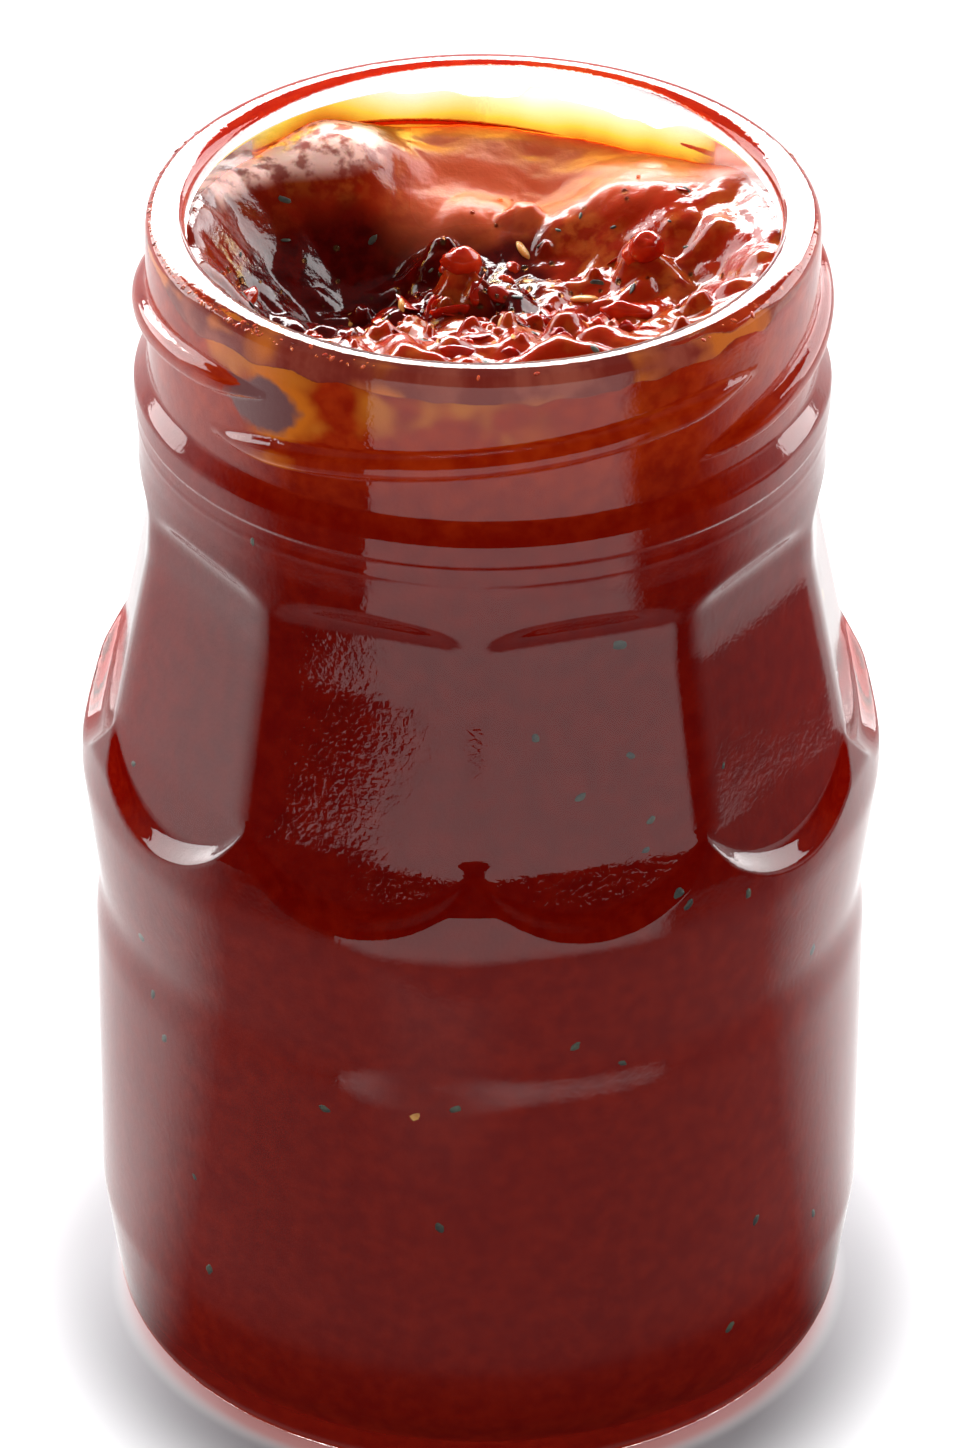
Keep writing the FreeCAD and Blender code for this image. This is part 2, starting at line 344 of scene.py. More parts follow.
# ------------------------------------------------------------------ the paste
# each form: right and back of the axis in mouth radii, rise in mm, two half-widths in mouth radii, heading in degrees
forms = [
    (-0.46, 0.16, -6.5, 0.32, 0.24, 20.0),
    (0.02, 0.22, -2.8, 0.34, 0.18, -8.0),
    (0.42, -0.10, -3.1, 0.36, 0.22, 25.0),
    (-0.52, 0.62, 2.6, 0.30, 0.11, 22.0),
    (-0.57, 0.80, 2.4, 0.15, 0.11, 30.0),
    (-0.10, 0.69, -1.6, 0.28, 0.10, -10.0),
    (0.24, 0.62, -1.3, 0.12, 0.16, 0.0),
    (0.34, 0.86, -1.0, 0.42, 0.12, -14.0),
    (0.78, 0.38, 1.9, 0.30, 0.20, 60.0),
    (0.40, 0.47, 0.6, 0.20, 0.10, 18.0),
    (0.98, 0.04, 2.5, 0.10, 0.30, 0.0),
    (-0.97, 0.08, 3.7, 0.11, 0.34, 0.0),
    (-0.62, -0.22, -2.9, 0.24, 0.20, 30.0),
    (-0.52, -0.66, 0.4, 0.26, 0.14, -40.0),
    (0.40, -0.68, 1.1, 0.40, 0.12, 12.0),
    (-0.16, -0.32, -2.0, 0.24, 0.16, 0.0),
    (-0.17, 0.27, 3.6, 0.09, 0.07, 0.0),
    (-0.07, 0.01, 2.2, 0.085, 0.075, 0.0),
    (-0.22, -0.36, 1.4, 0.09, 0.08, 30.0),
    (-0.60, -0.12, 1.7, 0.10, 0.08, -20.0),
    (0.54, 0.06, 1.5, 0.075, 0.065, 0.0),
    (0.80, -0.28, 0.8, 0.10, 0.08, 40.0),
    (0.08, -0.52, 0.8, 0.10, 0.08, 10.0),
]


def paste_height(x, y):
    """The paste's large forms."""
    height = level(4.4) - 0.85 * y / mouth_radius
    for right, back, rise, along, across, heading in forms:
        dx = x / mouth_radius - right
        dy = y / mouth_radius - back
        turn = math.radians(heading)
        u = (dx * math.cos(turn) + dy * math.sin(turn)) / along
        v = (dy * math.cos(turn) - dx * math.sin(turn)) / across
        height = height + rise * np.exp(-(u * u + v * v) / 2)
    return height


lumps = []
for _ in range(60):
    lx, ly = rng.normal(0.5, 9.5), rng.normal(-6.0, 7.0)
    if math.hypot(lx, ly) < 22.0:
        size = 0.55 + 1.5 * rng.random() ** 2.2
        rise = size * rng.uniform(0.55, 0.95)
        lumps.append((lx, ly, size, rise, rng.uniform(0.55, 1.0), rng.uniform(0, 3.14)))


def paste_detail(x, y):
    """Lumps and grain of the paste: rough in front and in the middle, smoother where the spoon went."""
    loose = 0.22 + 0.78 * step_up(-y + 3.0 * noise(x / 6, y / 6, 9.0), -10.0, 0.0)
    rough = noise(x / 6.5, y / 6.5, 1.3) * 1.6
    rough = rough + (np.abs(noise(x / 4.2 + 7, y / 4.2, 4.1)) - 0.16) * 3.0 * loose
    rough = rough + noise(x / 2.1, y / 2.1, 8.8) * 0.45 * loose
    rough = rough + noise(x / 1.0, y / 1.0, 5.5) * (0.05 + 0.06 * step_up(x, -2, 6))
    rough = rough + noise(x / 0.5, y / 0.5, 2.8) * 0.03
    for lx, ly, size, rise, flat, turn in lumps:
        dx, dy = x - lx, y - ly
        u = (dx * math.cos(turn) + dy * math.sin(turn)) / size
        v = (dy * math.cos(turn) - dx * math.sin(turn)) / (size * flat)
        d = u * u + v * v
        rough = rough + rise * (1 - step_up(np.sqrt(d), 0.35, 1.25))
    return rough


def reach_in(z):
    """How far the paste runs into the glass: more behind the facets, whose corners are thick."""
    return 0.1 + 0.45 * step_up(z, 54, 62) * (1 - step_up(z, 82, 90))


def build_paste():
    """From the middle of the open top, out to the glass, down along it and in under the bottom."""
    columns, top_rows, side_rows, side_foot = 448, 100, 65, 12.0
    az = np.linspace(0, 2 * math.pi, columns, endpoint=False)
    rings = []
    for r in (mouth_radius + 0.1) * np.linspace(0.012, 1, top_rows):
        x, y = np.sin(az) * r, -np.cos(az) * r
        z = paste_height(x, y) + paste_detail(x, y) * (1 - 0.6 * step_up(np.full(az.shape, r), 21, 24))
        rings.append(ring(az, r, np.minimum(z, jar_height - 0.7)))
    top = rings[-1][:, 2]
    for t in np.linspace(0, 1, side_rows + 1)[1:]:
        z = top + (side_foot - top) * t
        rings.append(ring(az, inside_radius(z) + reach_in(z), z))
    for r, z in [p for p in inside if p[1] < side_foot - 0.1][::-1]:
        if r > 0:
            rings.append(ring(az, r + 0.07, z - 0.07))
    obj = rings_to_mesh("harissa_paste", rings)
    faces = len(obj.data.polygons)
    top_faces = (top_rows - 1) * columns
    on_glass = [int(top_faces <= i < faces - 2 * columns or i >= faces - columns) for i in range(faces)]
    obj.data.polygons.foreach_set("material_index", on_glass)
    co = np.empty(len(obj.data.vertices) * 3)
    obj.data.vertices.foreach_get("co", co)
    x, y, z = co.reshape(-1, 3).T / MM
    # mask for the top's colour: 1 on the heaps and to the right, 0 in the spoon's hollow and lower on the left; its
    # dark end is partly the wetter paste's own colour and partly painted shade
    wander = 2.2 * noise(x / 5, y / 5, 6.2) + 1.2 * noise(x / 2, y / 2, 3.7)
    heap_shade_mask = step_up(paste_height(x, y) + 0.25 * paste_detail(x, y) + wander * 0.8, 96.6, 98.6)
    heap_shade_mask = np.maximum(heap_shade_mask, step_up(x + wander, 3.0, 7.0))
    heap_shade_mask = heap_shade_mask * (1 - 0.55 * step_up(-x + wander, 8, 14) * (1 - step_up(y, 11, 15)))
    layer = obj.data.attributes.new("heap_shade_mask", "FLOAT", "POINT")
    layer.data.foreach_set("value", heap_shade_mask.astype(np.float32))
    return obj


paste = build_paste()

# ------------------------------------------------------------------ bits in the paste
scatter = np.random.default_rng(21)


def ball(rows, columns):
    """Unit ball of points and faces, poles on Z."""
    polar = np.linspace(0, math.pi, rows + 1)[1:-1]
    turn = np.linspace(0, 2 * math.pi, columns, endpoint=False)
    p, t = np.meshgrid(polar, turn, indexing="ij")
    points = np.stack([np.sin(p) * np.cos(t), np.sin(p) * np.sin(t), np.cos(p)], -1).reshape(-1, 3)
    points = np.vstack([points, [[0, 0, 1], [0, 0, -1]]])
    faces = []
    for i in range(rows - 2):
        for j in range(columns):
            k = (j + 1) % columns
            faces.append([i * columns + j, (i + 1) * columns + j, (i + 1) * columns + k, i * columns + k])
    north, south = len(points) - 2, len(points) - 1
    last = (rows - 2) * columns
    for j in range(columns):
        k = (j + 1) % columns
        faces.append([north, j, k])
        faces.append([south, last + k, last + j])
    return points, faces


def paste_top(x, y):
    x, y = np.asarray(float(x)), np.asarray(float(y))
    return float(paste_height(x, y) + paste_detail(x, y))


def lying(x, y, heading, tilt=0.0, sink=0.0):
    """Place and axes of a bit that lies on the paste, turned about its own normal and then tipped."""
    e = 0.5
    slope = Vector(((paste_top(x - e, y) - paste_top(x + e, y)) / (2 * e),
                    (paste_top(x, y - e) - paste_top(x, y + e)) / (2 * e), 1)).normalized()
    along = Vector((math.cos(heading), math.sin(heading), 0))
    along = (along - slope * along.dot(slope)).normalized()
    axes = Matrix((along, slope.cross(along), slope)).transposed()
    axes = Matrix.Rotation(tilt, 3, axes.col[0]) @ axes
    return np.array([x, y, paste_top(x, y)]) - np.array(slope) * sink, np.array(axes)


def behind_glass(azimuth, z, depth, heading=0.0):
    """Place and axes of a bit that lies against the inside of the glass."""
    az = math.radians(azimuth)
    r = float(inside_radius(z) + reach_in(np.asarray(float(z)))) - depth
    out = Vector((math.sin(az), -math.cos(az), 0))
    side = Vector((math.cos(az), math.sin(az), 0))
    along = side * math.cos(heading) + Vector((0, 0, 1)) * math.sin(heading)
    axes = Matrix((along, out.cross(along), out)).transposed()
    return np.array([out.x * r, out.y * r, z]), np.array(axes)


def bits(name, items, rows=8, columns=12):
    """Many uneven little bodies in one mesh: each ((place, axes), half-sizes, bend, unevenness)."""
    base, base_faces = ball(rows, columns)
    points, faces = [], []
    for (centre, axes), half, bend, uneven in items:
        seed = scatter.uniform(0, 90)
        shape = base * (1 + uneven * noise(base[:, 0] * 1.6 + seed, base[:, 1] * 1.6, base[:, 2] * 1.6)[:, None])
        shape = shape * np.array(half)
        shape[:, 2] += bend * shape[:, 0] ** 2
        offset = sum(len(p) for p in points)
        points.append(shape @ axes.T + centre)
        faces += [[offset + i for i in f] for f in base_faces]
    return make(name, np.vstack(points), faces)


def spots(count, spread_x, spread_y, centre=(0, 0), limit=22.0):
    found = []
    while len(found) < count:
        x, y = scatter.normal(centre[0], spread_x), scatter.normal(centre[1], spread_y)
        if math.hypot(x, y) < limit:
            found.append((x, y))
    return found


seed_items = [(lying(8.2, -0.5, 0.5, 0.3, 0.15), (1.25, 1.0, 0.38), 0.0, 0.12)]
for x, y in spots(20, 11, 8, (2, -5)):
    seed_items.append((lying(x, y, scatter.uniform(0, 6.3), scatter.normal(0, 0.5), scatter.uniform(0.15, 0.55)),
                       (scatter.uniform(0.9, 1.35), scatter.uniform(0.7, 1.05), 0.3), 0.05, 0.15))
seed_items.append((behind_glass(-9.7, 37.2, 0.2, 0.4), (0.8, 0.6, 0.25), 0.0, 0.3))
for az, z in ((118, 40), (-140, 30), (165, 62), (80, 71), (-105, 66)):
    seed_items.append((behind_glass(az, z, 0.2, scatter.uniform(0, 3)), (0.9, 0.7, 0.25), 0.0, 0.3))
seeds = bits("chilli_seeds", seed_items)

skin_items = []
for x, y in spots(46, 11, 9, (1, -5)):
    skin_items.append((lying(x, y, scatter.uniform(0, 6.3), scatter.normal(0, 0.7), scatter.uniform(-0.1, 0.3)),
                       (scatter.uniform(0.8, 2.1), scatter.uniform(0.5, 1.1), 0.13),
                       scatter.uniform(-0.25, 0.25), 0.35))
skins = bits("chilli_skins", skin_items, 8, 14)



def fleck_behind_glass(az, z, size):
    return behind_glass(az, z, 0.05, scatter.uniform(0, 3)), (size * 1.5, size * 0.9, 0.14), 0.0, 0.6


herb_items = []
for az, z, size in ((24.6, 78.7, 0.5), (9.0, 71.6, 0.35), (25.5, 68.9, 0.35), (16.1, 66.2, 0.4), (27.9, 63.1, 0.35),
                    (26.7, 60.7, 0.3), (32.6, 55.3, 0.4), (14.5, 44.0, 0.4), (22.2, 41.3, 0.3), (-24.0, 36.5, 0.4),
                    (-3.6, 38.2, 0.35), (-5.9, 26.3, 0.4)):
    herb_items.append(fleck_behind_glass(az, z, size))
for _ in range(60):
    az, z = scatter.uniform(40, 320), scatter.uniform(6, 92)
    herb_items.append(fleck_behind_glass(az, z, scatter.uniform(0.18, 0.5)))
for x, y in [(-19.2, -2.2), (-18.6, -3.6)] + spots(38, 11, 9, (0, -4)):
    size = scatter.uniform(0.22, 0.65)
    herb_items.append((lying(x, y, scatter.uniform(0, 6.3), scatter.normal(0, 0.4), 0.02),
                       (size, size * 0.5, 0.09), 0.1, 0.5))
herbs = bits("herb_flecks", herb_items, 6, 8)

chunk_items = [(lying(13.1, 1.6, 0.3, 0.2, -0.5), (1.5, 1.25, 1.3), 0.0, 0.35),
               (lying(11.6, -5.6, 0.1, 0.0, 0.0), (2.1, 0.9, 0.9), 0.0, 0.4),
               (lying(-18.9, -1.2, 1.2, 0.6, -0.1), (1.3, 0.7, 0.5), 0.0, 0.4),
               (lying(-1.7, 0.2, 0.4, 0.0, 0.1), (1.7, 1.4, 1.2), 0.0, 0.35)]
for x, y in spots(24, 10, 7, (2, -6)):
    size = scatter.uniform(0.45, 1.15)
    chunk_items.append((lying(x, y, scatter.uniform(0, 6.3), scatter.normal(0, 0.4), size * 0.25),
                        (size, size * scatter.uniform(0.6, 0.9), size * 0.7), 0.0, 0.5))
chunks = bits("pepper_bits", chunk_items, 12, 18)

bead_items = []
for x, y in [(-20.6, 0.6), (-19.6, 1.6), (-16.5, 3.6), (-13.0, 4.5), (-18.4, -4.6)] + spots(150, 10, 8, (1, -3)):
    size = scatter.uniform(0.10, 0.30)
    bead_items.append((lying(x, y, 0.0, 0.0, -size * 0.2), (size, size, size * 0.75), 0.0, 0.0))
beads = bits("oil_beads", bead_items, 8, 12)


def closed_sheet(name, sheets):
    """A thin closed skin between an outer and an inner sheet of points, each (rows, columns, 3)."""
    rows, columns = sheets[0].shape[:2]
    index = np.arange(rows * columns).reshape(rows, columns)
    shift = rows * columns
    faces = []
    for i in range(rows - 1):
        for j in range(columns - 1):
            a, b, c, d = index[i, j], index[i, j + 1], index[i + 1, j + 1], index[i + 1, j]
            faces.append([b, a, d, c])
            faces.append([shift + a, shift + b, shift + c, shift + d])
    edge = list(index[0]) + list(index[1:, -1]) + list(index[-1, -2::-1]) + list(index[-2:0:-1, 0])
    for a, b in zip(edge, edge[1:] + edge[:1]):
        faces.append([a, b, shift + b, shift + a])
    return make(name, np.vstack([sheet.reshape(-1, 3) for sheet in sheets]), faces)


def edge_top(az):
    """Height at which the paste meets the glass."""
    x, y = np.sin(az) * mouth_radius, -np.cos(az) * mouth_radius
    return paste_height(x, y) + 0.4 * paste_detail(x, y)


def build_film():
    """Oil that clings to the back of the mouth, from the paste up towards the rim."""
    az = np.radians(np.linspace(88, 292, 240))
    share = np.linspace(0, 1, 22)
    foot = edge_top(az)
    end = np.minimum((az - az[0]) / 0.5, (az[-1] - az) / 0.5).clip(0, 1)
    head = foot + (3.4 + 2.0 * noise(az * 2.2, 3.3) + 0.9 * noise(az * 9, 7.1)) * end ** 0.5
    drip = 2.6 * np.exp(-((az - math.radians(169)) / 0.045) ** 2)
    head = np.minimum(head + drip, jar_height - 1.6)
    sheets = [np.array([ring(az, radius, foot - 0.6 + (head - foot + 0.6) * t) for t in share])
              for radius in (mouth_radius - 0.02, mouth_radius - 0.12)]
    obj = closed_sheet("oil_film", sheets)
    above = np.tile((share[:, None] * (head - foot)[None, :]).reshape(-1), 2)
    layer = obj.data.attributes.new("above_paste", "FLOAT", "POINT")
    layer.data.foreach_set("value", above.astype(np.float32))
    return obj


film = build_film()


def build_smear():
    """Paste smeared up the inside of the front wall, thin and ragged towards the rim."""
    az = np.radians(np.linspace(-104, 84, 520))
    end = np.minimum((az - az[0]) / 0.35, (az[-1] - az) / 0.5).clip(0, 1) ** 0.6
    foot = edge_top(az) - 0.5
    head = 103.2 + 0.5 * noise(az * 7, 2.2) + 0.35 * noise(az * 23, 5.2) + 0.2 * noise(az * 60, 1.2)
    head = foot + np.clip(head - foot, 0.15, None) * end
    share = np.linspace(0, 1, 14)
    z = foot + (head - foot) * share[:, None]
    wide = np.broadcast_to(az, z.shape)
    thick = 0.16 * np.sqrt(1 - share[:, None] ** 4) + 0.02
    sheets = [ring(wide, r, z) for r in (mouth_radius + 0.03, mouth_radius - thick)]
    return closed_sheet("paste_smear", sheets)


smear = build_smear()

speck_items = []
for _ in range(420):
    az = scatter.normal(-72, 24) if scatter.random() < 0.85 else scatter.uniform(40, 120)
    if -140 < az < -128:
        continue
    size = 0.08 + 0.26 * scatter.random() ** 2.5
    a, turn = math.radians(az), scatter.uniform(0, 3.1)
    r = finish_radius - 0.28 - abs(scatter.normal(0, 0.32))
    z = min(float(np.interp(r, lip_line[:, 0], lip_line[:, 1])), jar_height - 0.34)
    out = Vector((math.sin(a), -math.cos(a), 1.2)).normalized()
    side = Vector((math.cos(a), math.sin(a), 0))
    along = side * math.cos(turn) + out.cross(side) * math.sin(turn)
    axes = np.array(Matrix((along, out.cross(along), out)).transposed())
    centre = np.array([math.sin(a) * r, -math.cos(a) * r, z])
    speck_items.append(((centre, axes), (size, size * 0.6, size * 0.3), 0.0, 0.5))
specks = bits("rim_specks", speck_items, 6, 8)


# ------------------------------------------------------------------ materials
class Maths:
    """Short names for the math nodes of one node tree."""

    def __init__(self, tree):
        self.nodes, self.links = tree.nodes, tree.links

    def plug(self, socket, value):
        if isinstance(value, (int, float)):
            socket.default_value = value
        else:
            self.links.new(value, socket)

    def do(self, operation, a, b=0.0):
        node = self.nodes.new("ShaderNodeMath")
        node.operation = operation
        self.plug(node.inputs[0], a)
        self.plug(node.inputs[1], b)
        return node.outputs[0]

    def ramp(self, value, start, end, low=0.0, high=1.0):
        node = self.nodes.new("ShaderNodeMapRange")
        node.interpolation_type = "SMOOTHSTEP"
        for name, number in (("Value", value), ("From Min", start), ("From Max", end),
                             ("To Min", low), ("To Max", high)):
            self.plug(node.inputs[name], number)
        return node.outputs[0]

    def length(self, a, b):
        return self.do("SQRT", self.do("ADD", self.do("MULTIPLY", a, a), self.do("MULTIPLY", b, b)))

    def mix(self, factor, a, b):
        node = self.nodes.new("ShaderNodeMix")
        for name, value in (("Factor", factor), ("A", a), ("B", b)):
            self.plug(node.inputs[name], value)
        return node.outputs[0]


def material(name):
    m = bpy.data.materials.new(name)
    m.use_nodes = True
    nodes = m.node_tree.nodes
    nodes.clear()
    return m, nodes, m.node_tree.links


def glass_material():
    """Clear glass that lets light through to the paste, with a faint ripple."""
    m, nodes, links = material("clear_glass")
    out = nodes.new("ShaderNodeOutputMaterial")
    shader = nodes.new("ShaderNodeBsdfPrincipled")
    shader.inputs["Base Color"].default_value = (0.98, 0.985, 0.98, 1)
    shader.inputs["Roughness"].default_value = 0.02
    shader.inputs["IOR"].default_value = 1.5
    shader.inputs["Transmission Weight"].default_value = 1.0
    clear = nodes.new("ShaderNodeBsdfTransparent")
    mix = nodes.new("ShaderNodeMixShader")
    path = nodes.new("ShaderNodeLightPath")
    either = nodes.new("ShaderNodeMath")
    either.operation = "MAXIMUM"
    links.new(path.outputs["Is Shadow Ray"], either.inputs[0])
    links.new(path.outputs["Is Diffuse Ray"], either.inputs[1])
    links.new(either.outputs[0], mix.inputs["Fac"])
    links.new(shader.outputs["BSDF"], mix.inputs[1])
    links.new(clear.outputs["BSDF"], mix.inputs[2])
    links.new(mix.outputs["Shader"], out.inputs["Surface"])
    place = nodes.new("ShaderNodeTexCoord")
    peel = nodes.new("ShaderNodeTexNoise")
    peel.inputs["Scale"].default_value = 2000
    peel.inputs["Detail"].default_value = 2
    bump = nodes.new("ShaderNodeBump")
    bump.inputs["Strength"].default_value = 1.0
    bump.inputs["Distance"].default_value = 0.000012
    links.new(place.outputs["Object"], peel.inputs["Vector"])
    links.new(peel.outputs["Fac"], bump.inputs["Height"])
    links.new(bump.outputs["Normal"], shader.inputs["Normal"])
    return m


def paste_base(name, roughness, specular):
    """The shader that the paste materials share, with a fine bump, and the object's own coordinates."""
    m, nodes, links = material(name)
    out = nodes.new("ShaderNodeOutputMaterial")
    shader = nodes.new("ShaderNodeBsdfPrincipled")
    shader.inputs["Roughness"].default_value = roughness
    shader.inputs["IOR"].default_value = 1.45
    shader.inputs["Specular IOR Level"].default_value = specular
    links.new(shader.outputs["BSDF"], out.inputs["Surface"])
    place = nodes.new("ShaderNodeTexCoord").outputs["Object"]
    bump = nodes.new("ShaderNodeBump")
    bump.inputs["Strength"].default_value = 0.25
    bump.inputs["Distance"].default_value = 0.00016
    fine = nodes.new("ShaderNodeTexNoise")
    fine.inputs["Scale"].default_value = 1800
    fine.inputs["Detail"].default_value = 2
    links.new(place, fine.inputs["Vector"])
    links.new(fine.outputs["Fac"], bump.inputs["Height"])
    links.new(bump.outputs["Normal"], shader.inputs["Normal"])
    return m, shader, place


def cloud(m, place, scale, detail=3):
    """Noise over the object's own coordinates, scale in features a metre."""
    node = m.node_tree.nodes.new("ShaderNodeTexNoise")
    node.inputs["Scale"].default_value = scale
    node.inputs["Detail"].default_value = detail
    m.node_tree.links.new(place, node.inputs["Vector"])
    return node.outputs["Fac"]


def tint(m, factor, a, b):
    """Colour between a and b, each a plain colour or a socket."""
    node = m.node_tree.nodes.new("ShaderNodeMix")
    node.data_type = "RGBA"
    sockets = [i for i in node.inputs if i.type == "RGBA"]
    m.node_tree.links.new(factor, node.inputs[0])
    for socket, value in zip(sockets, (a, b)):
        if isinstance(value, tuple):
            socket.default_value = (*value, 1)
        else:
            m.node_tree.links.new(value, socket)
    return [o for o in node.outputs if o.type == "RGBA"][0]


def top_material():
    """The open top: dark and smooth where the spoon went, the wetter paste's own colour darkened further by painted
    shade in the hollow, redder and browner on the heaps, orange and duller in the trough at the back, partly the
    oil's colour and partly a painted highlight, and pale on the ridge top at the back left, a painted highlight where
    the photograph is blown out."""
    wet, dry = 0.09, 0.6
    m, shader, place = paste_base("chilli_paste", wet, 0.45)
    q = Maths(m.node_tree)
    shader.inputs["Subsurface Weight"].default_value = 0.4
    shader.inputs["Subsurface Radius"].default_value = (1.0, 0.12, 0.04)
    shader.inputs["Subsurface Scale"].default_value = 0.0014
    heap_shade_mask = m.node_tree.nodes.new("ShaderNodeAttribute")
    heap_shade_mask.attribute_name = "heap_shade_mask"
    grain = q.ramp(cloud(m, place, 700, 4), 0.38, 0.62)
    blotch = q.ramp(cloud(m, place, 170), 0.4, 0.62)
    # low colour, in the hollow: the wetter paste's own dark red, darkened further as painted shade
    low = tint(m, grain, (0.050, 0.0006, 0.0004), (0.090, 0.0016, 0.0007))
    high = tint(m, grain, (0.25, 0.014, 0.0022), (0.38, 0.066, 0.009))
    high = tint(m, blotch, high, (0.33, 0.016, 0.0022))
    colour = tint(m, heap_shade_mask.outputs["Fac"], low, high)
    split = m.node_tree.nodes.new("ShaderNodeSeparateXYZ")
    m.node_tree.links.new(place, split.inputs[0])
    x, y, z = (split.outputs[c] for c in "XYZ")
    # orange in the trough at the back: partly the oil's colour, partly a painted highlight
    valley_oil_and_painted_highlight = q.do("MULTIPLY", q.ramp(y, 0.008, 0.013), q.ramp(x, -0.010, -0.003))
    colour = tint(m, q.do("MULTIPLY", valley_oil_and_painted_highlight, 0.8), colour, (0.80, 0.13, 0.035))
    # pale patch on the ridge top at the back left: a painted highlight, not the paste's colour
    back_left = q.do("MULTIPLY", q.ramp(x, -0.002, -0.008), q.ramp(y, 0.006, 0.010))
    crest_painted_highlight = q.do("MULTIPLY", back_left, q.ramp(z, 0.1002, 0.1016))
    crest_painted_highlight = q.do("MULTIPLY", crest_painted_highlight, q.ramp(cloud(m, place, 700, 3), 0.36, 0.56, 0.2, 1.0))
    colour = tint(m, crest_painted_highlight, colour, (0.98, 0.62, 0.52))
    m.node_tree.links.new(colour, shader.inputs["Base Color"])
    dull = q.do("MAXIMUM", q.do("MULTIPLY", crest_painted_highlight, 0.5), q.do("MULTIPLY", valley_oil_and_painted_highlight, 0.6))
    m.node_tree.links.new(q.mix(dull, wet, dry), shader.inputs["Roughness"])
    return m


def side_material():
    """The paste as it lies on the glass: darker behind the facet ring, which is painted shade, brighter and more
    orange up the neck, mostly in front, which is a painted glow, with an orange oil stain under the rim in front, and
    with an air pocket at the front left."""
    m, shader, place = paste_base("chilli_paste_on_glass", 0.2, 0.0)
    q = Maths(m.node_tree)
    split = m.node_tree.nodes.new("ShaderNodeSeparateXYZ")
    m.node_tree.links.new(place, split.inputs[0])
    x, y, z = (split.outputs[c] for c in "XYZ")
    azimuth = q.do("DEGREES", q.do("ARCTAN2", x, q.do("MULTIPLY", y, -1.0)))
    grain = q.ramp(cloud(m, place, 650, 4), 0.25, 0.8)
    wander = q.do("SUBTRACT", cloud(m, place, 210, 3), 0.5)
    body = tint(m, grain, (0.175, 0.0026, 0.0006), (0.235, 0.0075, 0.0012))
    # darker paste behind the facet ring: painted shade
    waist_painted_shade = tint(m, grain, (0.132, 0.0012, 0.0005), (0.176, 0.0038, 0.0008))
    # brighter orange paste up the neck, mostly in front: a painted glow
    neck_painted_glow = tint(m, grain, (0.31, 0.0110, 0.0010), (0.45, 0.0330, 0.0032))
    facets = q.do("MULTIPLY", q.ramp(z, 0.050, 0.057), q.ramp(z, 0.078, 0.088, 1.0, 0.0))
    colour = tint(m, facets, body, waist_painted_shade)
    up_neck = q.ramp(q.do("ADD", z, q.do("MULTIPLY", wander, 0.006)), 0.087, 0.097)
    colour = tint(m, q.do("MULTIPLY", up_neck, q.ramp(y, 0.002, 0.014, 1.0, 0.15)), colour, neck_painted_glow)
    level_z = q.do("ADD", z, q.do("MULTIPLY", wander, 0.012))
    patchy = q.ramp(cloud(m, place, 150, 2), 0.42, 0.58)
    left = q.do("MULTIPLY", q.ramp(azimuth, -75.0, -60.0), q.ramp(azimuth, 0.0, 16.0, 1.0, 0.08))
    stain = q.do("MULTIPLY", q.do("MULTIPLY", q.ramp(level_z, 0.0972, 0.0995), left), patchy)
    colour = tint(m, stain, colour, (0.62, 0.16, 0.015))
    pocket_azimuth, pocket_z, pocket_wide, pocket_tall = -42.5, 0.0975, 9.0, 0.0026
    dx = q.do("DIVIDE", q.do("SUBTRACT", azimuth, pocket_azimuth), pocket_wide)
    dz = q.do("DIVIDE", q.do("SUBTRACT", z, pocket_z), pocket_tall)
    away = q.length(dx, dz)
    away = q.do("ADD", away, q.do("MULTIPLY", wander, 1.7))
    rim_of_pocket = q.do("MULTIPLY", q.ramp(away, 1.7, 1.0), q.ramp(dx, -0.7, 0.3))
    colour = tint(m, rim_of_pocket, colour, (0.70, 0.17, 0.012))
    colour = tint(m, q.ramp(away, 1.02, 0.72), colour, (0.20, 0.080, 0.080))
    m.node_tree.links.new(colour, shader.inputs["Base Color"])
    return m


def plain_material(name, dark, light, roughness, scale=900.0, soft=0.0):
    """A material that wavers between two colours."""
    m, nodes, links = material(name)
    out = nodes.new("ShaderNodeOutputMaterial")
    shader = nodes.new("ShaderNodeBsdfPrincipled")
    shader.inputs["Roughness"].default_value = roughness
    shader.inputs["Subsurface Weight"].default_value = soft
    shader.inputs["Subsurface Radius"].default_value = (1.0, 0.25, 0.08)
    shader.inputs["Subsurface Scale"].default_value = 0.001
    place = nodes.new("ShaderNodeTexCoord")
    grain = nodes.new("ShaderNodeTexNoise")
    grain.inputs["Scale"].default_value = scale
    grain.inputs["Detail"].default_value = 3
    ramp = nodes.new("ShaderNodeValToRGB")
    ramp.color_ramp.elements[0].position = 0.35
    ramp.color_ramp.elements[0].color = (*dark, 1)
    ramp.color_ramp.elements[1].position = 0.65
    ramp.color_ramp.elements[1].color = (*light, 1)
    links.new(place.outputs["Object"], grain.inputs["Vector"])
    links.new(grain.outputs["Fac"], ramp.inputs["Fac"])
    links.new(ramp.outputs["Color"], shader.inputs["Base Color"])
    links.new(shader.outputs["BSDF"], out.inputs["Surface"])
    return m


